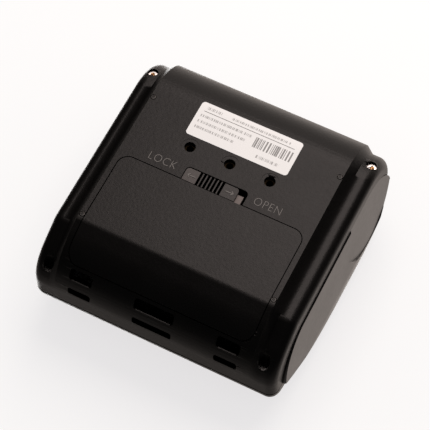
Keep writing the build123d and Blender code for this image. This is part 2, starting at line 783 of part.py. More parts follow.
# Lid with its barrel, side skirts and platen arms
with BuildPart() as paper_lid:
    extrude(section(lid_arcs, 0, seam_z - 1), amount=lid_half, both=True)
    extrude(section(lid_arcs, lid_wall, seam_z - 4), amount=lid_half - lid_wall, both=True, mode=Mode.SUBTRACT)
    extrude(section(lid_arcs, lid_skirt, seam_z - 4), amount=lid_half + 1, both=True, mode=Mode.SUBTRACT)
    block(-lid_half - 1, lid_half + 1, -half_length - 1, lid_front_y, 0, 70, mode=Mode.SUBTRACT)
    block(-lid_half - 1, lid_half + 1, 0, half_length + 1, 0, hinge_z, mode=Mode.SUBTRACT)
    add(yz_disc(-lid_half, lid_half, hinge_y, hinge_z, barrel_r))
    for side in X_SIDES:
        block(side * (plate_in - 0.25), side * (plate_in + plate_t + 0.25), hinge_y - 8, half_length + 1,
              30, hinge_z + barrel_r + 3.2, mode=Mode.SUBTRACT)
        block(side * (plate_in + plate_t + 0.25), side * (lid_half + 1), lid_front_y - 1, platen_y + bush_r + 4,
              30, platen_z + gear_room, mode=Mode.SUBTRACT)
        with BuildSketch(Plane.YZ.offset(side * arm_in)):
            with BuildLine():
                l1 = Polyline((platen_y - 4.0, platen_z), (platen_y - 4.0, platen_z + 8.2),
                              (platen_y + 14.0, platen_z + 10.5), (platen_y + 4.0, platen_z))
                ThreePointArc(l1 @ 1, (platen_y, platen_z - 4.0), l1 @ 0)
            make_face()
        extrude(amount=side * arm_t)
    add(yz_disc(-lid_half - 1, lid_half + 1, hinge_y, hinge_z, pin_r + run_gap), mode=Mode.SUBTRACT)
    add(yz_disc(-lid_half - 1, lid_half + 1, platen_y, platen_z, shaft_r + run_gap), mode=Mode.SUBTRACT)
    # Notch that the release hook's nose sits in
    block(-lid_half - 1, -lid_half + 1.2, release_y - nose_half - 1 - release_travel, release_y + nose_half + 1,
          hook_z - hook_half - release_play, hook_z + hook_half + release_play, mode=Mode.SUBTRACT)
save(paper_lid.part, "paper_lid")

with BuildPart() as lid_hinge_pin:
    add(yz_disc(-plate_in - plate_t, plate_in + plate_t, hinge_y, hinge_z, pin_r))
save(lid_hinge_pin.part, "lid_hinge_pin")

with BuildPart() as platen_roller:
    add(yz_disc(-platen_half, platen_half, platen_y, platen_z, platen_r))
    add(yz_disc(-platen_half - 1, platen_half + 1, platen_y, platen_z, shaft_r), mode=Mode.SUBTRACT)
    rims = platen_roller.edges().filter_by(GeomType.CIRCLE).filter_by(lambda e: e.radius > shaft_r + 0.1)
    chamfer(rims, roller_edge)
save(platen_roller.part, "platen_roller")

with BuildPart() as platen_shaft:
    add(yz_disc(-plate_in - plate_t - 1.2, gear_in + gear_t + 0.2, platen_y, platen_z, shaft_r))
    chamfer(platen_shaft.edges().filter_by(GeomType.CIRCLE), 0.3)
save(platen_shaft.part, "platen_shaft")

with BuildPart() as platen_bushes:
    for side in X_SIDES:
        add(yz_disc(side * plate_in, side * (plate_in + plate_t), platen_y, platen_z, bush_r))
    add(yz_disc(-lid_half, lid_half, platen_y, platen_z, shaft_r + run_gap), mode=Mode.SUBTRACT)
save(platen_bushes.part, "platen_bushes")


# Spur gears, all in one plane beside the right-hand plate
def spur_gear(teeth, y, z, bore_r, phase, x0, x1):
    """Spur gear along X: straight-flanked teeth, thinner at the tip, on a root disc."""
    pitch_r = gear_module * teeth / 2
    root_r = pitch_r - 1.25 * gear_module
    tip_r = pitch_r + 0.9 * gear_module
    root_w = 0.62 * gear_module * pi / 2
    tip_w = 0.30 * gear_module * pi / 2
    with BuildPart() as gear:
        with BuildSketch(Plane.YZ.offset(x0)):
            with Locations((y, z)):
                Circle(root_r)
                with PolarLocations(0, teeth, start_angle=phase):
                    Polygon((root_r - 0.2, -root_w), (tip_r, -tip_w), (tip_r, tip_w), (root_r - 0.2, root_w),
                            align=None)
                Circle(bore_r, mode=Mode.SUBTRACT)
        extrude(amount=x1 - x0)
    return gear.part


def meet(c1, r1, c2, r2):
    """Lower of the two points at the given distances from two centres in the YZ plane."""
    dy, dz = (c2[0] - c1[0], c2[1] - c1[1])
    d = hypot(dy, dz)
    along = (r1 ** 2 - r2 ** 2 + d ** 2) / (2 * d)
    off = sqrt(r1 ** 2 - along ** 2)
    return (c1[0] + along * dy / d - off * dz / d, c1[1] + along * dz / d + off * dy / d)


def bearing_angle(c1, c2):
    return degrees(atan2(c2[1] - c1[1], c2[0] - c1[0]))


first_reach = gear_module * (platen_teeth + idler_teeth) / 2
second_reach = gear_module * (idler_teeth + pinion_teeth) / 2
idler_y, idler_z = meet((platen_y, platen_z), first_reach, (motor_y, motor_z), second_reach)
to_idler = bearing_angle((platen_y, platen_z), (idler_y, idler_z))
to_pinion = bearing_angle((idler_y, idler_z), (motor_y, motor_z))
idler_phase = to_idler + 180 + 180 / idler_teeth
at_pinion = (to_pinion - idler_phase) * idler_teeth / 360
pinion_phase = to_pinion + 180 + (0.5 + at_pinion) * 360 / pinion_teeth

gear_out = gear_in + gear_t
save(spur_gear(platen_teeth, platen_y, platen_z, shaft_r, to_idler, gear_in, gear_out), "platen_gear")
save(spur_gear(idler_teeth, idler_y, idler_z, axle_r + run_gap, idler_phase, gear_in, gear_out), "idler_gear")
save(spur_gear(pinion_teeth, motor_y, motor_z, motor_shaft_r, pinion_phase, gear_in, gear_out), "motor_pinion")

with BuildPart() as idler_axle:
    add(yz_disc(plate_in, gear_out + 0.3, idler_y, idler_z, axle_r))
    add(yz_disc(gear_out + 0.05, gear_out + 0.35, idler_y, idler_z, axle_r + 0.8))
save(idler_axle.part, "idler_axle")

# Stepper motor on the inner side of the right-hand plate
with BuildPart() as motor:
    add(yz_disc(plate_in - motor_len, plate_in, motor_y, motor_z, motor_r))
    chamfer(motor.edges().filter_by(GeomType.CIRCLE).sort_by(Axis.X)[0], motor_edge)
    add(yz_disc(plate_in - motor_len - motor_boss_l, plate_in - motor_len, motor_y, motor_z, motor_boss_r))
save(motor.part, "motor")

with BuildPart() as motor_shaft:
    add(yz_disc(plate_in + 0.1, gear_out, motor_y, motor_z, motor_shaft_r))
save(motor_shaft.part, "motor_shaft")

# Chassis: two side plates, the paper cradle, a guide deck and the head's beam
with BuildPart() as chassis:
    for side in X_SIDES:
        with BuildSketch(Plane.YZ.offset(side * plate_in)):
            with BuildLine():
                Polyline((plate_front_y, plate_low_z), (plate_front_y, plate_nose_z),
                         (plate_front_y + 5.0, plate_brow_z), (bend_y - 3.0, plate_top_z),
                         (platen_y + 9.0, plate_top_z), (platen_y + 16.5, plate_dip_z),
                         (hinge_y - 7.2, plate_rear_z), (hinge_y, hinge_z + lug_r),
                         (hinge_y, plate_low_z), close=True)
            make_face()
            with Locations((hinge_y, hinge_z)):
                Circle(lug_r)
            with BuildLine():
                Line((belly_rear_y - cradle_r - cradle_t, plate_low_z + 1), (hinge_y + 2.5, plate_low_z + 1))
                Line((hinge_y + 2.5, plate_low_z + 1), (hinge_y + 2.5, roll_z - 5))
                ThreePointArc((hinge_y + 2.5, roll_z - 5), (belly_rear_y, roll_z - cradle_r - cradle_t),
                              (belly_rear_y - cradle_r - cradle_t, plate_low_z + 1))
            make_face()
            # Flared notch for the platen's bush
            with BuildLine():
                l1 = Polyline((platen_y - bush_r - notch_gap, platen_z), (platen_y - bush_r - 1.6, notch_top_z),
                              (platen_y + bush_r + 2.4, notch_top_z), (platen_y + bush_r + notch_gap, platen_z))
                ThreePointArc(l1 @ 1, (platen_y, platen_z - bush_r - notch_gap), l1 @ 0)
            make_face(mode=Mode.SUBTRACT)
            with Locations((hinge_y, hinge_z)):
                Circle(pin_r, mode=Mode.SUBTRACT)
        extrude(amount=side * plate_t)
    with BuildSketch(Plane.YZ):
        with Locations((belly_rear_y, roll_z)):
            Circle(cradle_r + cradle_t)
            Circle(cradle_r, mode=Mode.SUBTRACT)
        with Locations((belly_rear_y, roll_z + 2 * cradle_r)):
            Rectangle(4 * cradle_r, 4 * cradle_r, mode=Mode.SUBTRACT)
        with BuildLine():
            front = belly_rear_y - cradle_r
            Polyline((front - cradle_t, roll_z - 0.5), (front, roll_z - 0.5), (front, guide_low_z),
                     (guide_tip_y, guide_tip_z), (guide_tip_y - 0.6, guide_tip_z - cradle_t),
                     (front - cradle_t, guide_low_z - 1.0), close=True)
        make_face()
        with Locations((beam_y, (head_z0 + head_z1) / 2 - 1)):
            Rectangle(cradle_t, beam_h)
    extrude(amount=plate_in + 0.1, both=True)
    for side in X_SIDES:
        for y in foot_ys:
            block(side * (plate_in + 0.5), side * (foot_x + foot_half), y - foot_half, y + foot_half,
                  plate_low_z, plate_low_z + foot_t)
        with Locations(*[(side * foot_x, y, plate_low_z) for y in foot_ys]):
            Cylinder(foot_screw_r + 0.15, 4 * foot_t, mode=Mode.SUBTRACT)
    add(yz_disc(plate_in - 1, plate_in + plate_t + 1, motor_y, motor_z, motor_shaft_r + 1.2), mode=Mode.SUBTRACT)
    add(yz_disc(plate_in - 1, plate_in + plate_t + 1, idler_y, idler_z, axle_r), mode=Mode.SUBTRACT)
    # Window for the paper sensor in the guide deck
    block(-sensor_half - 0.2, sensor_half + 0.2, sensor_y - sensor_l / 2 - 0.4, sensor_y + sensor_l / 2 + 0.4,
          sensor_z0 - 1.2, guide_tip_z + 0.6, mode=Mode.SUBTRACT)
save(chassis.part, "chassis")

with BuildPart() as chassis_screws:
    for side in X_SIDES:
        top = plate_low_z + foot_t
        with Locations(*[(side * foot_x, y, top - foot_screw_len / 2) for y in foot_ys]):
            Cylinder(foot_screw_r, foot_screw_len)
        with Locations(*[(side * foot_x, y, top + 0.6) for y in foot_ys]):
            Cylinder(2.0, 1.2)
save(chassis_screws.part, "chassis_screws")

with BuildPart() as paper_sensor:
    block(-sensor_half, sensor_half, sensor_y - sensor_l / 2, sensor_y + sensor_l / 2, sensor_z0, sensor_z1)
save(paper_sensor.part, "paper_sensor")

# Print head, its heat sink and the springs that press it
head_y1 = platen_y - platen_r - head_gap
head_y0 = head_y1 - head_t
sink_y0 = head_y0 - sink_t
with BuildPart() as print_head:
    block(-head_half, head_half, head_y0, head_y1, head_z0, head_z1)
    with BuildSketch(Plane.XZ.offset(-head_y1)):
        with Locations((0, platen_z)):
            Rectangle(2 * head_half - 3, 1.2)
    extrude(amount=-0.12)
save(print_head.part, "print_head")

with BuildPart() as head_sink:
    block(-head_half - 1, head_half + 1, sink_y0, head_y0, head_z0 - 1, head_z1 + 0.5)
    block(-plate_in, plate_in, sink_y0, head_y0, head_z0 + 2, head_z0 + 6)
save(head_sink.part, "head_sink")

# Two bowed leaf springs between the chassis beam and the heat sink
spring_foot = beam_y + cradle_t / 2
spring_crown = sink_y0 - 0.02
spring_z = head_z0 + 5
with BuildPart() as head_springs:
    for x in spring_xs:
        with BuildSketch(Plane.YZ.offset(x - spring_w / 2)):
            with BuildLine():
                low = spring_z - spring_h / 2
                high = spring_z + spring_h / 2
                ThreePointArc((spring_foot, low), (spring_crown, spring_z), (spring_foot, high))
                Line((spring_foot, high), (spring_foot, high - spring_t))
                ThreePointArc((spring_foot, high - spring_t), (spring_crown - spring_t, spring_z),
                              (spring_foot, low + spring_t))
                Line((spring_foot, low + spring_t), (spring_foot, low))
            make_face()
        extrude(amount=spring_w)
save(head_springs.part, "head_springs")

# Serrated tear bar on the deck's rear edge
tear_teeth = int(2 * tear_half / tear_pitch)
with BuildPart() as tear_bar:
    with BuildSketch(Plane.XZ.offset(-deck_rear_y)):
        with Locations((0, deck_z(deck_rear_y) - wall / 2)):
            Rectangle(2 * tear_half, wall)
        for i in range(tear_teeth):
            left = -tear_half + i * tear_pitch
            base = deck_z(deck_rear_y) - 0.05
            Polygon((left, base), (left + tear_pitch, base), (left + tear_pitch / 2, base + tear_tooth), align=None)
    extrude(amount=-tear_t)
save(tear_bar.part, "tear_bar")


def button(plane, label):
    with BuildPart() as cap:
        with BuildSketch(plane.offset(button_proud - button_len)):
            Circle(button_r)
        extrude(amount=button_len)
        rim = cap.faces().sort_by(Axis.Z)[-1].edges()
        chamfer(rim, button_edge)
    save(cap.part, label)


button(power_plane, "power_button")
button(feed_plane, "feed_button")

light_root = panel_board_drop - 1.0
with BuildPart() as status_lights:
    for plane in light_planes:
        with BuildSketch(plane.offset(-light_root)):
            Circle(light_r)
        extrude(amount=light_root + 0.15)
save(status_lights.part, "status_lights")

# Button board under the deck with two key switches and three lamps
panel_mid = roof_plane((panel_board_x0 + panel_board_x1) / 2, button_y, deck_z(button_y), deck_slope)
with BuildPart() as button_board:
    with BuildSketch(panel_mid.offset(-panel_board_drop)):
        Rectangle(panel_board_x1 - panel_board_x0, panel_board_l)
    extrude(amount=-panel_board_t)
    for plane in (power_plane, feed_plane):
        with BuildSketch(plane.offset(-panel_board_drop)):
            Rectangle(6, 6)
        extrude(amount=1.2)
        with BuildSketch(plane.offset(-panel_board_drop)):
            Circle(1.7)
        extrude(amount=panel_board_drop - button_len + button_proud - button_travel - 0.1)
    for plane in light_planes:
        with BuildSketch(plane.offset(-panel_board_drop)):
            Rectangle(2.0, 1.6)
        extrude(amount=0.7)
    for plane in board_post_planes:
        with BuildSketch(plane.offset(-panel_board_drop - panel_board_t)):
            Circle(foot_screw_r + 0.15)
        extrude(amount=panel_board_t, mode=Mode.SUBTRACT)
save(button_board.part, "button_board")

with BuildPart() as board_screws:
    for plane in board_post_planes:
        with BuildSketch(plane.offset(-panel_board_drop - panel_board_t)):
            Circle(2.0)
        extrude(amount=-1.2)
        with BuildSketch(plane.offset(-panel_board_drop - panel_board_t)):
            Circle(foot_screw_r)
        extrude(amount=5.0)
save(board_screws.part, "board_screws")

# Sliding release with a nose that reaches the lid's side
release_rest = roof_plane(release_x, release_y + release_travel / 2 * cos(radians(roof_slope)),
                          roof_line_z(release_y + release_travel / 2 * cos(radians(roof_slope))), roof_slope)
with BuildPart() as release_button:
    with BuildSketch(release_rest.offset(-release_sink + 0.15)):
        Rectangle(release_w, release_l)
    extrude(amount=release_sink + release_proud)
    chamfer(release_button.faces().sort_by(Axis.Z)[-1].edges(), button_edge)
    # Grip grooves across the thumb face
    with BuildSketch(release_rest.offset(release_proud + 0.15)):
        for i in range(grip_grooves):
            with Locations((0, (i - (grip_grooves - 1) / 2) * grip_pitch)):
                Rectangle(release_w + 1, grip_pitch / 2)
    extrude(amount=-grip_depth, mode=Mode.SUBTRACT)
    with BuildSketch(release_rest.offset(-release_sink + 0.2)):
        Rectangle(release_stem_w, release_stem_l)
    extrude(amount=-(release_rest.origin.Z - hook_z - release_sink + hook_half))
    nose_y = release_rest.origin.Y
    block(release_x - 1, -lid_half - lid_gap, nose_y - nose_half, nose_y + nose_half,
          hook_z - hook_half, hook_z + hook_half)
save(release_button.part, "release_button")

# Main board over the battery bay, with an ear for the side socket
board_z = bay_top_z + bay_wall + board_gap
with BuildPart() as main_board:
    block(-board_half, board_half, board_front_y, board_rear_y, board_z, board_z + board_t)
    block(board_half - 1, cavity_half - 4, usb_y - 6, usb_y + 6, board_z, board_z + board_t)
    for x, y, w, d, h in ((-8, -22, 10, 10, 1.0), (10, -20, 7, 5, 1.2), (-24, -30, 6, 4, 1.4), (22, -14, 12, 5, 2.2)):
        block(x - w / 2, x + w / 2, y - d / 2, y + d / 2, board_z + board_t - 0.1, board_z + board_t + h)
save(main_board.part, "main_board")

with BuildPart() as usb_socket:
    low = board_z + board_t
    block(cavity_half - 5, panel_seat + 0.6, usb_y - usb_half, usb_y + usb_half, low, low + usb_h)
    fillet(usb_socket.edges().filter_by(Axis.X), 0.7)
    block(cavity_half - 1, panel_seat + 2, usb_y - usb_half + 0.4, usb_y + usb_half - 0.4, low + 0.4, low + usb_h - 0.4,
          mode=Mode.SUBTRACT)
    block(cavity_half - 1.2, panel_seat - 0.4, usb_y - 2.6, usb_y + 2.6, low + 1.1, low + 1.6)
save(usb_socket.part, "usb_socket")

with BuildPart() as buzzer:
    with Locations((buzzer_x, buzzer_y, board_z + board_t + buzzer_h / 2)):
        Cylinder(buzzer_r, buzzer_h)
    with Locations((buzzer_x, buzzer_y, board_z + board_t + buzzer_h)):
        Cylinder(1.0, 1.0, mode=Mode.SUBTRACT)
save(buzzer.part, "buzzer")
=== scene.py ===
"""Builds the looks of a portable label printer, lying belly up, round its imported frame."""

import json
import math

import bpy
from bpy.props import FloatProperty, FloatVectorProperty, PointerProperty, StringProperty
from mathutils import Matrix, Vector

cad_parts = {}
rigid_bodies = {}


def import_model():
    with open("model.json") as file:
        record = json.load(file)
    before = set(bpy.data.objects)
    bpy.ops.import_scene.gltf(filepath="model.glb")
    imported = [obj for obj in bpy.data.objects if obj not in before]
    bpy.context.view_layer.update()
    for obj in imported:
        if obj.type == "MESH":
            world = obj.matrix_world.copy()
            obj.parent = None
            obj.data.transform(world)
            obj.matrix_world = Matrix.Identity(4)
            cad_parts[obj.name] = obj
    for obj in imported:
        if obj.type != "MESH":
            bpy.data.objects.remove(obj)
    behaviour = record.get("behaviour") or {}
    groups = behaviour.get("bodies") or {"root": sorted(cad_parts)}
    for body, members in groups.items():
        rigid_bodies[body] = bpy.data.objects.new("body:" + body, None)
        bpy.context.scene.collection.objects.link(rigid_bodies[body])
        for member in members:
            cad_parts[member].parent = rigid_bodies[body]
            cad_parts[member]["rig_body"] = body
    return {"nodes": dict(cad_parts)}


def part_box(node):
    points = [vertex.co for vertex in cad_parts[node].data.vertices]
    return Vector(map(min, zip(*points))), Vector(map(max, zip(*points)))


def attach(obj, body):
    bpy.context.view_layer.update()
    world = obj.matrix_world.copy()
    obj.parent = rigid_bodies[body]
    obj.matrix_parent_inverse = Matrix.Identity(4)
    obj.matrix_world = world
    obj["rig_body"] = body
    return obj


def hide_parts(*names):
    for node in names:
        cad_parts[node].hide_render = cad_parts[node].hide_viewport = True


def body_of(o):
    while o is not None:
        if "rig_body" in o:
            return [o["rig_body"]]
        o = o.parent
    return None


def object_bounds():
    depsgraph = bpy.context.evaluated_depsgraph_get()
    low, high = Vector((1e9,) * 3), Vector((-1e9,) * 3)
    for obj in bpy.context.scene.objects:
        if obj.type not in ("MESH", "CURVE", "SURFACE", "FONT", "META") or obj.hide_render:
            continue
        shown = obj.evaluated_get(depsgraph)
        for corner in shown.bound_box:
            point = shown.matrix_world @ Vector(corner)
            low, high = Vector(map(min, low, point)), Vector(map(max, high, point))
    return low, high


bl_info = {
    "name": "Label printer",
    "version": (1, 0, 0),
    "blender": (4, 5, 0),
    "location": "View3D > Sidebar > Printer",
    "description": "Finishes, trim and studio for a portable label printer",
    "category": "Object",
}

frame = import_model()
CAD_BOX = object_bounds()
MM = 0.001
MERGE = 0.002 * MM

# Places that the trim shares with the construction nodes
BELLY_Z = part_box("battery_cover")[0].z
SCREWS_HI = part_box("case_screws")[1]
LATCH_LO, LATCH_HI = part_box("battery_latch")
LABEL_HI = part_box("rating_label")[1]
BOARD_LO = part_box("main_board")[0]
SCREW_HEAD_R = 2.0 * MM
SCREW_RIM = 0.08 * MM
TONGUE = 2.8 * MM          # open end of the latch, painted pale as a painted highlight
RIB_FIRST = 6.5 * MM       # from the latch's locked end to its first rib
BOARD_T = 1.6 * MM
NUB_X = 44.7 * MM
NUB_YS = (-34.6 * MM, 29.6 * MM)
NUB_R = 0.95 * MM

# The bottom shell's pockets, where shade is painted black, in millimetres
CURVE_Y = -34.1            # middle and radius of the lower front curve
CURVE_Z = 26.9
CURVE_R = 26.0
VENT_LIP = 0.45            # painted shade starts that deep under the curve
VENTS_REAR = -43.5
VENTS_TOP = 27.4
WELL_LIP = 0.35            # painted shade starts that deep under the belly
WELLS_FRONT = -30.0
WELLS_REAR = 33.0
WELLS_TOP = 9.0
POCKETS_HALF = 45.5

# Shared looks
# Black painted as shade in the shell's pockets and in the rings round the nubs
SHADE_BLACK = (0.0003, 0.0003, 0.0003)
WHITE = (1.0, 1.0, 1.0)
BROAD = 14.0               # shading angle in degrees of the case's broad, gently bent faces
CAPITAL = 0.7              # height of the font's capitals, as a share of its size


# Settings that a user would change
class CameraSettings(bpy.types.PropertyGroup):
    orbit: FloatProperty(name="Orbit", description="Turn of the camera round the upright axis",
                         subtype="ANGLE", default=math.radians(28.18))
    height: FloatProperty(name="Height", description="Angle of the camera over the table", subtype="ANGLE",
                          default=math.radians(62.16))
    roll: FloatProperty(name="Roll", description="Turn of the picture", subtype="ANGLE",
                        default=math.radians(-1.5))
    aim: FloatVectorProperty(name="Aim", description="Point in the middle of the picture",
                             subtype="TRANSLATION", unit="LENGTH",
                             default=(-5.47 * MM, -10.3 * MM, 0.4 * MM))
    distance: FloatProperty(name="Distance", description="From the aim to the camera", unit="LENGTH",
                            default=773.2 * MM)
    lens: FloatProperty(name="Lens", description="Focal length in millimetres", unit="CAMERA", default=154.16)


class StudioSettings(bpy.types.PropertyGroup):
    table: FloatVectorProperty(name="Table", description="Paper of the table", subtype="COLOR",
                               default=(0.36, 0.385, 0.37))
    glow: FloatVectorProperty(name="Glow", description="Light that comes through the table's paper",
                              subtype="COLOR", default=(0.70, 0.68, 0.69))
    backdrop: FloatProperty(name="Backdrop", description="Brightness behind the table", default=1.0)
    fill: FloatProperty(name="Fill", description="Even light from all round", default=0.38)
    key_colour: FloatVectorProperty(name="Key colour", description="Colour of the softbox over the belly",
                                    subtype="COLOR", default=(1.0, 0.87, 0.82))
    key_direction: FloatVectorProperty(name="Key direction", description="From the printer to that softbox",
                                       subtype="DIRECTION", default=(-0.02, 0.56, -0.89))
    key_power: FloatProperty(name="Key power", description="Power of that softbox", unit="POWER",
                             default=3.15)
    key_size: FloatProperty(name="Key size", description="Side of that softbox", unit="LENGTH", default=0.55)
    key_distance: FloatProperty(name="Key distance", description="How far away that softbox is",
                                unit="LENGTH", default=0.7)
    lid_direction: FloatVectorProperty(name="Lid light direction", subtype="DIRECTION",
                                       description="From the printer to the softbox over the lid",
                                       default=(0.45, 0.35, 0.82))
    lid_power: FloatProperty(name="Lid light power", description="Power of that softbox", unit="POWER",
                             default=7.0)
    lid_size: FloatProperty(name="Lid light size", description="Side of that softbox", unit="LENGTH",
                            default=0.8)
    lid_distance: FloatProperty(name="Lid light distance", description="How far away that softbox is",
                                unit="LENGTH", default=1.0)


class CaseSettings(bpy.types.PropertyGroup):
    colour: FloatVectorProperty(name="Case colour", description="Moulded case", subtype="COLOR",
                                default=(0.0024, 0.0021, 0.002))
    panel_colour: FloatVectorProperty(name="Panel colour", description="Smooth side panels", subtype="COLOR",
                                      default=(0.0042, 0.0036, 0.0033))
    grain: FloatProperty(name="Grain", description="Width of the moulded grain", unit="LENGTH",
                         default=0.42 * MM)
    grain_depth: FloatProperty(name="Grain depth", description="Height of the moulded grain", unit="LENGTH",
                               default=0.022 * MM, precision=6)
    cover_edge: FloatProperty(name="Cover edge", description="Softening of the battery cover's edges",
                              unit="LENGTH", default=0.176 * MM, precision=6)


class WordSettings(bpy.types.PropertyGroup):
    locked: StringProperty(name="Locked", description="Word at the closed end of the latch", default="LOCK")
    unlocked: StringProperty(name="Unlocked", description="Word at the open end of the latch", default="OPEN")
    height: FloatProperty(name="Height", description="Height of the capitals", unit="LENGTH",
                          default=3.9 * MM)
    width: FloatProperty(name="Width", description="Width of the capitals, as a share of the font's",
                         default=0.86)
    thinning: FloatProperty(name="Thinning", description="Taken off each side of a stroke", unit="LENGTH",
                            default=0.13 * MM, precision=6)
    spacing: FloatProperty(name="Spacing", description="Room of a letter, as a share of the font's",
                           default=1.1)
    proud: FloatProperty(name="Proud", description="Height over the case", unit="LENGTH", default=0.12 * MM)
    locked_at: FloatVectorProperty(name="Locked at", description="Middle of the first word", size=2,
                                   unit="LENGTH", default=(26.4 * MM, 3.1 * MM))
    unlocked_at: FloatVectorProperty(name="Unlocked at", description="Middle of the second word", size=2,
                                     unit="LENGTH", default=(-23.6 * MM, 3.1 * MM))


# Shader maths written as Python expressions
class Value:
    """One number on a sheet of nodes, which Python's operators join to others by Math nodes."""

    def __init__(self, sheet, socket):
        self.sheet = sheet
        self.socket = socket

    def __add__(self, other):
        return self.sheet.math("ADD", self, other)

    def __sub__(self, other):
        return self.sheet.math("SUBTRACT", self, other)

    def __rsub__(self, other):
        return self.sheet.math("SUBTRACT", other, self)

    def __mul__(self, other):
        return self.sheet.math("MULTIPLY", self, other)

    def __gt__(self, other):
        return self.sheet.math("GREATER_THAN", self, other)

    def __lt__(self, other):
        return self.sheet.math("LESS_THAN", self, other)

    __radd__ = __add__
    __rmul__ = __mul__


class NodeSheet:
    """A tree of nodes that all come from one method."""

    def __init__(self, tree):
        self.tree = tree
        tree.nodes.clear()

    def node(self, kind, settings=None, **sockets):
        """Adds a node: its settings first, then the values or links of its sockets."""
        node = self.tree.nodes.new(kind)
        for key, value in (settings or {}).items():
            setattr(node, key, value)
        for key, value in sockets.items():
            self.feed(self.find(node.inputs, key), value)
        return node

    @staticmethod
    def find(sockets, key):
        """The socket with that identifier or name, in which _ stands for a space."""
        for socket in sockets:
            if key in (socket.identifier, socket.name, socket.name.replace(" ", "_")):
                return socket
        raise KeyError(key)

    def feed(self, socket, value):
        if isinstance(value, Value):
            value = value.socket
        if isinstance(value, bpy.types.NodeSocket):
            self.tree.links.new(value, socket)
        else:
            socket.default_value = value

    def value(self, kind, output, settings=None, **sockets):
        """A node's output as a number that operators work on."""
        return Value(self, self.find(self.node(kind, settings, **sockets).outputs, output))

    def math(self, operation, *values):
        node = self.node("ShaderNodeMath", {"operation": operation})
        for socket, value in zip(node.inputs, values):
            self.feed(socket, value)
        return Value(self, node.outputs[0])

    def rise(self, value, low, high):
        """Smooth step from 0 at low to 1 at high."""
        return self.value("ShaderNodeMapRange", "Result", {"interpolation_type": "SMOOTHSTEP"}, Value=value,
                          From_Min=low, From_Max=high)

    def blend(self, mask, first, second):
        """Colour socket that goes from the first colour to the second as mask goes from 0 to 1."""
        mix = self.node("ShaderNodeMix", {"data_type": "RGBA"}, Factor_Float=mask, A_Color=self.opaque(first),
                        B_Color=self.opaque(second))
        return self.find(mix.outputs, "Result_Color")

    @staticmethod
    def opaque(colour):
        """A colour with full alpha, or the socket that stands for one."""
        return (*colour, 1) if isinstance(colour, tuple) else colour


class Paint(NodeSheet):
    """A material of one Principled shader, painted by the place on the object."""

    def __init__(self, name):
        self.material = bpy.data.materials.new(name)
        self.material.use_nodes = True
        super().__init__(self.material.node_tree)
        self.surface = self.node("ShaderNodeBsdfPrincipled")
        self.output = self.node("ShaderNodeOutputMaterial", Surface=self.surface.outputs["BSDF"])
        self.place = self.node("ShaderNodeTexCoord").outputs["Object"]

    def axes(self):
        """The three coordinates in millimetres."""
        split = self.node("ShaderNodeSeparateXYZ", Vector=self.place)
        return [Value(self, split.outputs[axis]) * (1 / MM) for axis in "XYZ"]

    def noise(self, width, detail=2.0, stretch=(1, 1, 1), roughness=0.5):
        """Noise from 0 to 1 whose blotches are about that wide, in metres."""
        mapped = self.node("ShaderNodeMapping", Vector=self.place, Scale=stretch).outputs["Vector"]
        return self.value("ShaderNodeTexNoise", "Fac", Vector=mapped, Scale=1 / width,
                          Detail=detail, Roughness=roughness)

    def dashes(self, along, detail):
        """1 and 0 by turns along a line, at random lengths."""
        return self.value("ShaderNodeTexNoise", "Fac", {"noise_dimensions": "1D"}, W=along, Scale=1.0,
                          Detail=detail) > 0.5

    def bump(self, height, distance):
        """Feeds the Normal with a height that goes from 0 to 1, that deep."""
        node = self.node("ShaderNodeBump", Height=height, Distance=distance, Strength=1.0)
        self.finish(Normal=node.outputs["Normal"])

    def finish(self, **sockets):
        for key, value in sockets.items():
            self.feed(self.find(self.surface.inputs, key), value)
        return self.material


def shade(colour, factor):
    return tuple(min(1.0, c * factor) for c in colour)


def spread(value, low, high):
    """A number from 0 to 1 carried to the range from low to high."""
    return value * (high - low) + low


def inside(value, low, high):
    """1 where a value lies between two limits."""
    return (value > low) * (value < high)


# Finishes
def grained(name, colour, roughness, grain, depth, mottle=0.25, specular=0.5):
    """Injection-moulded plastic: spark-eroded grain in two sizes, and faint clouds where the melt flowed."""
    paint = Paint(name)
    fine = paint.noise(grain, detail=3.0, roughness=0.6)
    coarse = paint.noise(grain * 3.2, detail=2.0)
    cloud = paint.noise(14 * MM, detail=3.0)
    wear = paint.noise(2.2 * MM, detail=2.0)
    paint.bump(fine + coarse * 2.4, depth)
    paint.finish(
        Roughness=spread(cloud * 0.5 + wear * 0.5, roughness - 0.06, roughness + 0.06),
        Specular_IOR_Level=specular,
    )
    return paint, paint.blend(cloud, shade(colour, 1 - mottle), shade(colour, 1 + mottle))


def moulded(*values, **settings):
    """Grained plastic of one colour."""
    paint, colour = grained(*values, **settings)
    return paint.finish(Base_Color=colour)


def pocketed(name, colour, pockets, *values, **settings):
    """Grained plastic whose pockets, given by a function of its place, are painted black and matt as painted
    shade.
    """
    paint, tone = grained(name, colour, *values, **settings)
    dark = pockets(*paint.axes())
    rough = Value(paint, paint.surface.inputs["Roughness"].links[0].from_socket)
    # Painted shade: black, matt and without reflection in the pockets
    return paint.finish(Base_Color=paint.blend(dark, tone, SHADE_BLACK), Metallic=dark,
                        Roughness=rough * (1 - dark) + dark * 0.9)


def shell_pocket_shade(x, y, z):
    """The walls of the wells and holes in the belly, and of the vents in the lower front curve, where shade
    is painted black.
    """
    across, up = y - CURVE_Y, z - CURVE_Z
    inner = CURVE_R - VENT_LIP
    vents = (across * across + up * up < inner * inner) * (y < VENTS_REAR) * (z < VENTS_TOP)
    wells = inside(y, WELLS_FRONT, WELLS_REAR) * inside(z, BELLY_Z / MM + WELL_LIP, WELLS_TOP)
    return (vents + wells) * inside(x, -POCKETS_HALF, POCKETS_HALF)


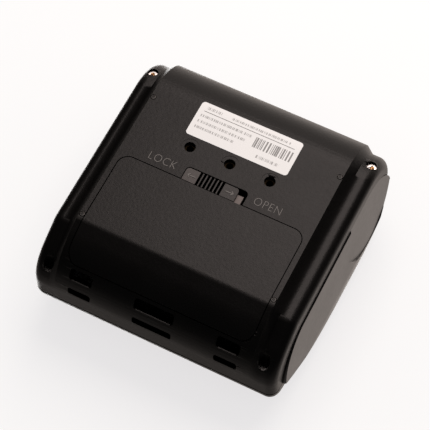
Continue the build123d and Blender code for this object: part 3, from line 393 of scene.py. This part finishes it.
def latch_plastic(name, grain, depth):
    """Slider: a locked end painted lighter as a painted sheen, black gaps between its ribs as painted shade,
    and a tongue at its open end painted pale as a painted highlight.
    """
    paint, tone = grained(name, (0.021, 0.018, 0.0168), 0.5, grain, depth)
    x, _, z = paint.axes()
    plate, end = (LATCH_LO.x + TONGUE) / MM, LATCH_HI.x / MM
    gap_depth = LATCH_LO.z / MM + 0.3
    lock = x > end - RIB_FIRST / MM
    gaps = (z > gap_depth) * inside(x, plate + 0.2, end + 1.0)
    tongue = x < plate - 0.05
    # Painted light: sheen on the locked end, shade in the rib gaps, a highlight on the tongue
    colour = paint.blend(lock, tone, (0.055, 0.046, 0.0435))
    colour = paint.blend(gaps, colour, (0.0004, 0.0004, 0.0004))
    colour = paint.blend(tongue, colour, (0.16, 0.13, 0.12))
    return paint.finish(Base_Color=colour, Metallic=gaps)


def screw_steel(name):
    """Bright nickel heads whose recesses at the rear are painted brown as shade, and heads at the front
    painted black as the shade of their deep wells.
    """
    paint = Paint(name)
    x, y, _ = paint.axes()
    side, rear = (SCREWS_HI.x - SCREW_HEAD_R) / MM, (SCREWS_HI.y - SCREW_HEAD_R) / MM
    across, along = paint.math("ABSOLUTE", x) - side, y - rear
    recess_r = 1.0
    recess = across * across + along * along < recess_r * recess_r
    front = y < 0.0
    tarnish = paint.noise(1.2 * MM, detail=3.0)
    marks = paint.noise(0.12 * MM, detail=3.0)
    paint.bump(marks, 0.006 * MM)
    bright = paint.blend(tarnish, (0.62, 0.59, 0.56), (0.9, 0.88, 0.86))
    # Painted shade: brown in the rear recesses, black and without metal sheen on the front heads
    colour = paint.blend(recess, bright, (0.3, 0.17, 0.08))
    return paint.finish(Base_Color=paint.blend(front, colour, (0.002, 0.002, 0.002)), Metallic=1 - front,
                        Roughness=spread(tarnish, 0.2, 0.34))


def rubber(name, colour):
    """Ground rubber: matt, with fine rings left by the grinding wheel."""
    paint = Paint(name)
    rings = paint.noise(0.25 * MM, detail=2.0, stretch=(1, 0.05, 0.05))
    dust = paint.noise(1.4 * MM, detail=4.0)
    paint.bump(rings, 0.02 * MM)
    return paint.finish(Base_Color=paint.blend(dust, shade(colour, 0.8), shade(colour, 1.5)),
                        Roughness=spread(dust, 0.55, 0.75))


def metal(name, colour, roughness, lay=(1, 1, 1)):
    """Metal with fine tool marks along the lay."""
    paint = Paint(name)
    marks = paint.noise(0.12 * MM, detail=3.0, stretch=lay)
    tarnish = paint.noise(3 * MM, detail=3.0)
    paint.bump(marks, 0.006 * MM)
    return paint.finish(Base_Color=paint.blend(tarnish, shade(colour, 0.78), shade(colour, 1.08)),
                        Metallic=1.0, Roughness=spread(tarnish, roughness - 0.05, roughness + 0.1))


def circuit_board(name, mask, chip, chip_bottom):
    """Solder mask with buried tracks, and dark chips above its face."""
    paint = Paint(name)
    chips = paint.axes()[2] > chip_bottom
    tracks = paint.value("ShaderNodeTexWave", "Fac", {"wave_type": "BANDS", "bands_direction": "DIAGONAL"},
                         Vector=paint.place, Scale=420.0, Distortion=6.0, Detail=0.0) > 0.72
    speck = paint.noise(0.6 * MM)
    board = paint.blend(tracks, shade(mask, 0.7), shade(mask, 1.9))
    paint.bump(tracks * (1 - chips) + speck * 0.2, 0.02 * MM)
    return paint.finish(Base_Color=paint.blend(chips, board, chip), Roughness=spread(chips, 0.28, 0.5))


def label_print(name):
    """White coated paper with a plain rule, rows of dashes and a block of bars."""
    paint = Paint(name)
    x, y, _ = paint.axes()
    across = 0 - x
    down = LABEL_HI.y / MM - y
    half = LABEL_HI.x / MM
    ink = inside(down, 4.4, 4.7) * inside(across, 2.5 - half, half - 2.5)
    # Each row's foot under the top edge, its height, start and end
    rows = (
        (3.3, 1.5, 3.0 - half, -14.0),
        (3.3, 1.2, -9.0, half - 5.0),
        (7.6, 1.3, 2.0 - half, 2.5),
        (10.6, 1.3, 2.0 - half, 0.5),
        (13.6, 1.3, 2.0 - half, -3.5),
        (15.6, 1.5, 8.0, 19.0),
    )
    for row, (foot, tall, start, end) in enumerate(rows):
        marks = paint.dashes(across * 1.9 + 37.0 * row, 1.0)
        ink = ink + inside(down, foot - tall, foot) * inside(across, start, end) * marks * 0.62
    bars = paint.dashes(across * 1.35, 0.0)
    ink = ink + inside(down, 6.2, 11.4) * inside(across, 4.5, half - 2.0) * bars * 0.85
    fibres = paint.noise(0.2 * MM)
    paint.bump(fibres, 0.004 * MM)
    paper = paint.blend(fibres, (0.93, 0.93, 0.92), (0.99, 0.99, 0.98))
    return paint.finish(Base_Color=paint.blend(ink * 0.9, paper, (0.07, 0.065, 0.06)), Roughness=0.45)


def build_finishes(case):
    """Every finish of the printer, by name."""
    grain, depth = case.grain, case.grain_depth
    body, panel = tuple(case.colour), tuple(case.panel_colour)
    board_top = (BOARD_LO.z + BOARD_T) / MM + 0.02
    return {
        # The shell's pockets are painted black as painted shade
        "shell": pocketed("black_case", body, shell_pocket_shade, 0.37, grain, depth, specular=0.265),
        "cover": moulded("black_cover", shade(body, 1.1), 0.39, grain * 0.9, depth * 1.1, specular=0.29),
        "lid": moulded("black_lid", body, 0.37, grain, depth, specular=0.3),
        # The latch carries a painted sheen, painted shade and a painted highlight
        "latch": latch_plastic("latch_plastic", grain * 0.8, depth),
        # Painted highlight: the nubs' domes are light grey
        "nub": moulded("polished_nub", (0.28, 0.25, 0.23), 0.3, grain, depth * 0.3),
        # Painted shade: the black, matt ring round each nub
        "groove": moulded("dark_groove", SHADE_BLACK, 0.9, grain, depth, specular=0.0),
        # The screws carry painted shade in their recesses and on the front heads
        "screw": screw_steel("nickel_screws"),
        "panel": moulded("smooth_panel", panel, 0.3, grain * 1.5, depth * 0.25, mottle=0.15, specular=0.62),
        "slider": moulded("slider_plastic", (0.07, 0.06, 0.056), 0.5, grain * 0.8, depth),
        # Painted highlight: the raised words and arrows are lighter than the case
        "words": moulded("raised_words", (0.17, 0.158, 0.147), 0.5, grain, depth * 0.4),
        "frame": moulded("grey_frame", (0.045, 0.046, 0.05), 0.45, grain * 1.4, depth * 1.2),
        "key": moulded("key_rubber", (0.03, 0.031, 0.033), 0.6, grain * 0.7, depth),
        "lens": moulded("milky_lens", (0.6, 0.66, 0.62), 0.22, grain, depth * 0.1),
        "nylon": moulded("natural_nylon", (0.62, 0.59, 0.5), 0.45, grain * 2, depth, mottle=0.08),
        "chip": moulded("black_component", (0.012, 0.012, 0.013), 0.4, grain * 0.5, depth * 0.5),
        "sleeve": moulded("shrink_sleeve", (0.02, 0.045, 0.13), 0.25, grain * 4, depth * 2, mottle=0.1),
        "ceramic": moulded("glazed_ceramic", (0.5, 0.45, 0.36), 0.18, grain, depth * 0.2, mottle=0.08),
        "rubber": rubber("platen_rubber", (0.016, 0.016, 0.017)),
        "steel": metal("ground_steel", (0.52, 0.52, 0.53), 0.3, (0.04, 1, 1)),
        "alloy": metal("drawn_alloy", (0.66, 0.67, 0.69), 0.35, (0.04, 1, 1)),
        "can": metal("plated_can", (0.5, 0.5, 0.49), 0.26),
        "gilt": metal("yellow_passivate", (0.83, 0.55, 0.24), 0.22),
        # Painted shade: the inserts are near black in their deep holes
        "dark_brass": metal("dark_brass", (0.02, 0.014, 0.008), 0.5),
        "board": circuit_board("green_board", (0.012, 0.09, 0.03), (0.012, 0.012, 0.013), board_top),
        "label": label_print("printed_label"),
    }


# Filled by main
FINISHES = {}


# Modelling helpers
def only(*objects):
    """Selects these objects alone, the first one active."""
    bpy.ops.object.select_all(action="DESELECT")
    for item in objects:
        item.select_set(True)
    bpy.context.view_layer.objects.active = objects[0]


def apply_modifier(piece, kind, **settings):
    modifier = piece.modifiers.new(kind.title(), kind)
    for key, value in settings.items():
        setattr(modifier, key, value)
    only(piece)
    bpy.ops.object.modifier_apply(modifier=modifier.name)


def merge(piece, flatness):
    """Joins the corners that meet, and faces that bend by less than flatness, in degrees."""
    only(piece)
    bpy.ops.object.mode_set(mode="EDIT")
    bpy.ops.mesh.select_all(action="SELECT")
    bpy.ops.mesh.remove_doubles(threshold=MERGE)
    bpy.ops.mesh.dissolve_limited(angle_limit=math.radians(flatness))
    bpy.ops.object.mode_set(mode="OBJECT")


def even_shading(piece, angle):
    """Smooth shading up to that angle, with flat faces kept flat."""
    only(piece)
    bpy.ops.object.shade_smooth_by_angle(angle=math.radians(angle))
    apply_modifier(piece, "WEIGHTED_NORMAL", keep_sharp=True, weight=80)


def settle(piece, body, finish):
    """Paints a finished piece and hangs it on its body."""
    only(piece)
    bpy.ops.object.transform_apply(location=True, rotation=True, scale=True)
    piece.data.materials.clear()
    piece.data.materials.append(FINISHES[finish])
    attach(piece, body)


def dress(node, finish, edge=0.0, angle=30.0):
    """A smooth copy of a construction node with softened edges, which stands in its place."""
    source = frame["nodes"][node]
    piece = bpy.data.objects.new(f"{node}_skin", source.data.copy())
    bpy.context.collection.objects.link(piece)
    merge(piece, 0.3)
    if edge:
        apply_modifier(piece, "BEVEL", width=edge, segments=2, limit_method="ANGLE",
                       angle_limit=math.radians(angle), use_clamp_overlap=True, harden_normals=False)
    even_shading(piece, angle)
    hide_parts(node)
    settle(piece, body_of(source)[0], finish)


def word(text, name, place, settings):
    """Raised capitals on the belly, read from below."""
    bpy.ops.object.select_all(action="DESELECT")
    bpy.ops.object.text_add(location=(place[0], place[1], BELLY_Z), rotation=(0, math.pi, 0))
    piece = bpy.context.active_object
    piece.name = name
    letters = piece.data
    letters.body = text
    letters.align_x = "CENTER"
    letters.align_y = "CENTER"
    letters.size = settings.height / CAPITAL
    letters.offset = -settings.thinning
    letters.space_character = settings.spacing
    letters.extrude = settings.proud
    letters.resolution_u = 6
    bpy.ops.object.convert(target="MESH")
    piece.scale.x = settings.width
    merge(piece, 1.0)
    even_shading(piece, 30.0)
    # The words' lighter finish is a painted highlight
    settle(piece, "housing", "words")


def slab(name, low, high, edge):
    """A block between two corners with softened edges."""
    middle = (Vector(low) + Vector(high)) / 2
    bpy.ops.object.select_all(action="DESELECT")
    bpy.ops.mesh.primitive_cube_add(size=1.0, location=middle)
    piece = bpy.context.active_object
    piece.name = name
    piece.scale = Vector(high) - Vector(low)
    bpy.ops.object.transform_apply(location=True, rotation=True, scale=True)
    apply_modifier(piece, "BEVEL", width=edge, segments=2)
    return piece


def join(name, *pieces):
    only(*pieces)
    bpy.ops.object.join()
    piece = bpy.context.active_object
    piece.name = name
    return piece


# Studio helpers
def aimed(name, direction, distance, size, power, colour):
    """A softbox at that direction and distance from the middle of the printer, facing it."""
    lamp = bpy.data.lights.new(name, "AREA")
    lamp.shape = "SQUARE"
    lamp.size = size
    lamp.energy = power
    lamp.color = colour
    lamp_object = bpy.data.objects.new(name, lamp)
    bpy.context.collection.objects.link(lamp_object)
    middle = (CAD_BOX[0] + CAD_BOX[1]) / 2
    outward = Vector(direction).normalized()
    lamp_object.location = middle + outward * distance
    lamp_object.rotation_euler = outward.to_track_quat("Z", "Y").to_euler()
    lamp_object.visible_camera = False


def table_top(name, height, facing, paper, glow):
    """A wide backlit table that shows from one side only, and takes the printer's shadow there."""
    width = 6.0
    bpy.ops.object.select_all(action="DESELECT")
    bpy.ops.mesh.primitive_plane_add(size=width, location=(0, 0, height),
                                     rotation=(0 if facing > 0 else math.pi, 0, 0))
    top = bpy.context.active_object
    top.name = name
    paint = Paint(f"{name}_paint")
    cloud = paint.noise(120 * MM)
    paint.finish(Base_Color=paint.blend(cloud, shade(paper, 0.99), paper), Roughness=0.9,
                 Specular_IOR_Level=0.0, Emission_Color=(*glow, 1), Emission_Strength=1.0)
    clear = paint.node("ShaderNodeBsdfTransparent").outputs["BSDF"]
    behind = paint.node("ShaderNodeNewGeometry").outputs["Backfacing"]
    mix = paint.node("ShaderNodeMixShader", Fac=behind)
    paint.feed(mix.inputs[1], paint.surface.outputs["BSDF"])
    paint.feed(mix.inputs[2], clear)
    paint.feed(paint.output.inputs["Surface"], mix.outputs["Shader"])
    top.data.materials.append(paint.material)
    for ray in ("diffuse", "glossy", "transmission", "volume_scatter", "shadow"):
        setattr(top, f"visible_{ray}", False)


# Operators, one for each piece or group of like pieces
class PRINTER_OT_camera(bpy.types.Operator):
    """Adds the camera at the photograph's viewing angle"""
    bl_idname = "printer.camera"
    bl_label = "Camera"

    def execute(self, context):
        settings = context.scene.printer_camera
        orbit, height, roll = settings.orbit, settings.height, settings.roll
        back = Vector((math.sin(orbit) * math.cos(height), -math.cos(orbit) * math.cos(height),
                       math.sin(height)))
        level = Vector((math.cos(orbit), math.sin(orbit), 0.0))
        upward = back.cross(level)
        right = math.cos(roll) * level + math.sin(roll) * upward
        up = math.cos(roll) * upward - math.sin(roll) * level
        belly_up = Matrix.Diagonal((-1, 1, -1))
        turned = [belly_up @ axis for axis in (right, up, back)]
        camera = bpy.data.objects.new("camera", bpy.data.cameras.new("camera"))
        context.collection.objects.link(camera)
        camera.data.sensor_width = 36.0
        camera.data.lens = settings.lens
        camera.data.clip_start = 0.01
        camera.data.clip_end = 50.0
        spot = Vector(settings.aim) + settings.distance * turned[2]
        camera.matrix_world = Matrix.Translation(spot) @ Matrix(turned).transposed().to_4x4()
        context.scene.camera = camera
        return {"FINISHED"}


class PRINTER_OT_studio(bpy.types.Operator):
    """Adds the table, the soft lamps and the white surroundings"""
    bl_idname = "printer.studio"
    bl_label = "Studio"

    def execute(self, context):
        settings = context.scene.printer_studio
        scene = context.scene
        scene.view_settings.view_transform = "Standard"
        paper, glow = tuple(settings.table), tuple(settings.glow)
        table_top("belly_up_table", CAD_BOX[1].z, -1, paper, glow)
        table_top("upright_table", CAD_BOX[0].z, 1, paper, glow)
        aimed("belly_softbox", settings.key_direction, settings.key_distance, settings.key_size,
              settings.key_power, tuple(settings.key_colour))
        aimed("lid_softbox", settings.lid_direction, settings.lid_distance, settings.lid_size,
              settings.lid_power, WHITE)
        self.surroundings(scene, settings)
        return {"FINISHED"}

    def surroundings(self, scene, settings):
        """White to the camera, even to matt surfaces, and a dark ceiling over the belly in reflections."""
        world = bpy.data.worlds.new("surroundings")
        scene.world = world
        world.use_nodes = True
        room = NodeSheet(world.node_tree)
        rays = room.node("ShaderNodeLightPath").outputs
        camera_ray = Value(room, rays["Is Camera Ray"])
        mirrored = Value(room, rays["Is Glossy Ray"]) + Value(room, rays["Is Transmission Ray"])
        direction = room.node("ShaderNodeTexCoord").outputs["Generated"]
        heading = room.node("ShaderNodeSeparateXYZ", Vector=direction)
        rearward = Value(room, heading.outputs["Y"])
        upward = Value(room, heading.outputs["Z"])
        table = room.rise(upward, 0.05, 0.8) * spread(room.rise(rearward, -0.35, 0.35), 0.25, 0.75)
        wall = room.rise(rearward, 0.55, 0.92) * 0.75
        darkest = 0.003
        strength = camera_ray * settings.backdrop + (1 - camera_ray) * (
            mirrored * (table + wall + darkest) + (1 - mirrored) * settings.fill)
        tint = room.blend(mirrored, WHITE, (1.0, 0.88, 0.81))
        glow = room.node("ShaderNodeBackground", Color=tint, Strength=strength)
        room.node("ShaderNodeOutputWorld", Surface=glow.outputs["Background"])


class PRINTER_OT_case(bpy.types.Operator):
    """Dresses the two shells and their side panels"""
    bl_idname = "printer.case"
    bl_label = "Case"

    def execute(self, context):
        dress("bottom_shell", "shell", angle=BROAD)
        dress("top_shell", "lid", angle=BROAD)
        dress("side_panel_left", "panel", angle=BROAD)
        dress("side_panel_right", "panel", angle=BROAD)
        spots = [(side * NUB_X, y) for side in (-1, 1) for y in NUB_YS]
        for number, (x, y) in enumerate(spots, start=1):
            self.nub(number, x, y)
        return {"FINISHED"}

    def nub(self, number, x, y):
        """A small dome that the belly rests on, painted light grey as a painted highlight, in a flat black
        ring of painted shade round it.
        """
        tip, height, rounding = 0.03 * MM, 0.8 * MM, 0.3 * MM
        bpy.ops.object.select_all(action="DESELECT")
        bpy.ops.mesh.primitive_cylinder_add(vertices=32, radius=NUB_R, depth=height,
                                            location=(x, y, tip + height / 2))
        dome = bpy.context.active_object
        dome.name = f"nub_{number}"
        apply_modifier(dome, "BEVEL", width=rounding, segments=4, limit_method="ANGLE")
        even_shading(dome, 40.0)
        # The dome's light grey finish is a painted highlight
        settle(dome, "housing", "nub")
        ring_gap, ring_r, flatness = 0.16 * MM, 0.2 * MM, 0.1
        bpy.ops.object.select_all(action="DESELECT")
        bpy.ops.mesh.primitive_torus_add(major_radius=NUB_R + ring_gap, minor_radius=ring_r,
                                         major_segments=32, minor_segments=8, location=(x, y, BELLY_Z))
        ring = bpy.context.active_object
        ring.name = f"nub_ring_{number}"
        ring.scale.z = flatness
        even_shading(ring, 60.0)
        # The flat ring is painted black as the shade round the nub
        settle(ring, "housing", "groove")


class PRINTER_OT_battery_door(bpy.types.Operator):
    """Dresses the battery cover, its latch and what lies behind it"""
    bl_idname = "printer.battery_door"
    bl_label = "Battery door"

    def execute(self, context):
        dress("battery_cover", "cover", context.scene.printer_case.cover_edge)
        dress("battery_latch", "latch")
        dress("battery_pack", "sleeve")
        dress("battery_contacts", "gilt")
        self.arrows()
        return {"FINISHED"}

    def arrows(self):
        """Raised arrows that point outwards from the two ends of the latch."""
        face = LATCH_LO.z
        middle = (LATCH_LO.y + LATCH_HI.y) / 2
        line, length, barb, margin = 0.36 * MM, 3.8 * MM, 1.5 * MM, 1.4 * MM
        proud, sunk, rounding = 0.22 * MM, 0.1 * MM, 0.05 * MM
        spread_angle = math.radians(38)
        for end, name in ((LATCH_LO.x + TONGUE, "open_arrow"), (LATCH_HI.x, "lock_arrow")):
            outward = 1 if end > 0 else -1
            tip = end - outward * margin
            tail = tip - outward * length
            low, high = sorted((tip, tail))
            strokes = [slab(f"{name}_shaft", (low, middle - line / 2, face - proud),
                            (high, middle + line / 2, face + sunk), rounding)]
            for turn in (-1, 1):
                stroke = slab(f"{name}_barb", (-barb, -line / 2, face - proud),
                              (0, line / 2, face + sunk), rounding)
                stroke.rotation_euler.z = turn * spread_angle + (0 if outward > 0 else math.pi)
                stroke.location = (tip, middle, 0)
                strokes.append(stroke)
            arrow = join(f"{name}_raised", *strokes)
            # The arrows' lighter finish is a painted highlight
            settle(arrow, "latch", "words")


class PRINTER_OT_words(bpy.types.Operator):
    """Raises the two plain words beside the latch"""
    bl_idname = "printer.words"
    bl_label = "Words"

    def execute(self, context):
        settings = context.scene.printer_words
        for text, name, place in ((settings.locked, "locked_word", settings.locked_at),
                                  (settings.unlocked, "unlocked_word", settings.unlocked_at)):
            word(text, name, place, settings)
        return {"FINISHED"}


class PRINTER_OT_label(bpy.types.Operator):
    """Dresses the printed label and the belly's inserts"""
    bl_idname = "printer.label"
    bl_label = "Label and inserts"

    def execute(self, context):
        dress("rating_label", "label")
        # The inserts' near-black finish is painted shade
        dress("belt_clip_inserts", "dark_brass")
        return {"FINISHED"}


class PRINTER_OT_screws(bpy.types.Operator):
    """Dresses the screws of the case, the chassis and the boards"""
    bl_idname = "printer.screws"
    bl_label = "Screws"

    def execute(self, context):
        dress("case_screws", "screw", SCREW_RIM)
        dress("chassis_screws", "gilt", SCREW_RIM)
        dress("board_screws", "gilt", SCREW_RIM)
        return {"FINISHED"}


class PRINTER_OT_lid(bpy.types.Operator):
    """Dresses the paper lid and its hinge pin"""
    bl_idname = "printer.lid"
    bl_label = "Lid"

    def execute(self, context):
        dress("paper_lid", "lid", angle=BROAD)
        dress("lid_hinge_pin", "steel")
        return {"FINISHED"}


class PRINTER_OT_keys(bpy.types.Operator):
    """Dresses the keys, the lamps' lenses and the lid release"""
    bl_idname = "printer.keys"
    bl_label = "Keys and lights"

    def execute(self, context):
        dress("power_button", "key")
        dress("feed_button", "key")
        dress("status_lights", "lens")
        dress("release_button", "slider")
        return {"FINISHED"}


class PRINTER_OT_print_works(bpy.types.Operator):
    """Dresses the platen, the gears, the motor and the print head"""
    bl_idname = "printer.print_works"
    bl_label = "Print works"

    def execute(self, context):
        for node, finish in (("platen_roller", "rubber"), ("platen_shaft", "steel"),
                             ("platen_bushes", "nylon"), ("platen_gear", "nylon"), ("idler_gear", "nylon"),
                             ("motor_pinion", "gilt"), ("idler_axle", "steel"), ("motor", "can"),
                             ("motor_shaft", "steel"), ("print_head", "ceramic"), ("head_sink", "alloy"),
                             ("head_springs", "steel"), ("tear_bar", "chip")):
            dress(node, finish)
        return {"FINISHED"}


class PRINTER_OT_inside(bpy.types.Operator):
    """Dresses the chassis, the boards and their components"""
    bl_idname = "printer.inside"
    bl_label = "Chassis and boards"

    def execute(self, context):
        for node, finish in (("chassis", "frame"), ("paper_sensor", "chip"), ("main_board", "board"),
                             ("button_board", "board"), ("usb_socket", "can"), ("buzzer", "chip")):
            dress(node, finish)
        return {"FINISHED"}


class PRINTER_PT_panel(bpy.types.Panel):
    """Lists the printer's operators and settings"""
    bl_label = "Label printer"
    bl_idname = "PRINTER_PT_panel"
    bl_space_type = "VIEW_3D"
    bl_region_type = "UI"
    bl_category = "Printer"

    def draw(self, context):
        for operator in OPERATORS:
            self.layout.operator(operator.bl_idname)
        for group in GROUPS:
            settings = getattr(context.scene, group)
            for key in settings.bl_rna.properties.keys():
                if key not in ("rna_type", "name"):
                    self.layout.prop(settings, key)


OPERATORS = (PRINTER_OT_camera, PRINTER_OT_studio, PRINTER_OT_case, PRINTER_OT_battery_door, PRINTER_OT_words,
             PRINTER_OT_label, PRINTER_OT_screws, PRINTER_OT_lid, PRINTER_OT_keys, PRINTER_OT_print_works,
             PRINTER_OT_inside)
GROUPS = {"printer_camera": CameraSettings, "printer_studio": StudioSettings, "printer_case": CaseSettings,
          "printer_words": WordSettings}


def register():
    for cls in (*GROUPS.values(), *OPERATORS, PRINTER_PT_panel):
        bpy.utils.register_class(cls)
    for name, group in GROUPS.items():
        setattr(bpy.types.Scene, name, PointerProperty(type=group))


def unregister():
    for name in GROUPS:
        delattr(bpy.types.Scene, name)
    for cls in reversed((*GROUPS.values(), *OPERATORS, PRINTER_PT_panel)):
        bpy.utils.unregister_class(cls)


def main():
    register()
    FINISHES.update(build_finishes(bpy.context.scene.printer_case))
    for operator in OPERATORS:
        group, name = operator.bl_idname.split(".")
        getattr(getattr(bpy.ops, group), name)()


if __name__ == "__main__":
    main()
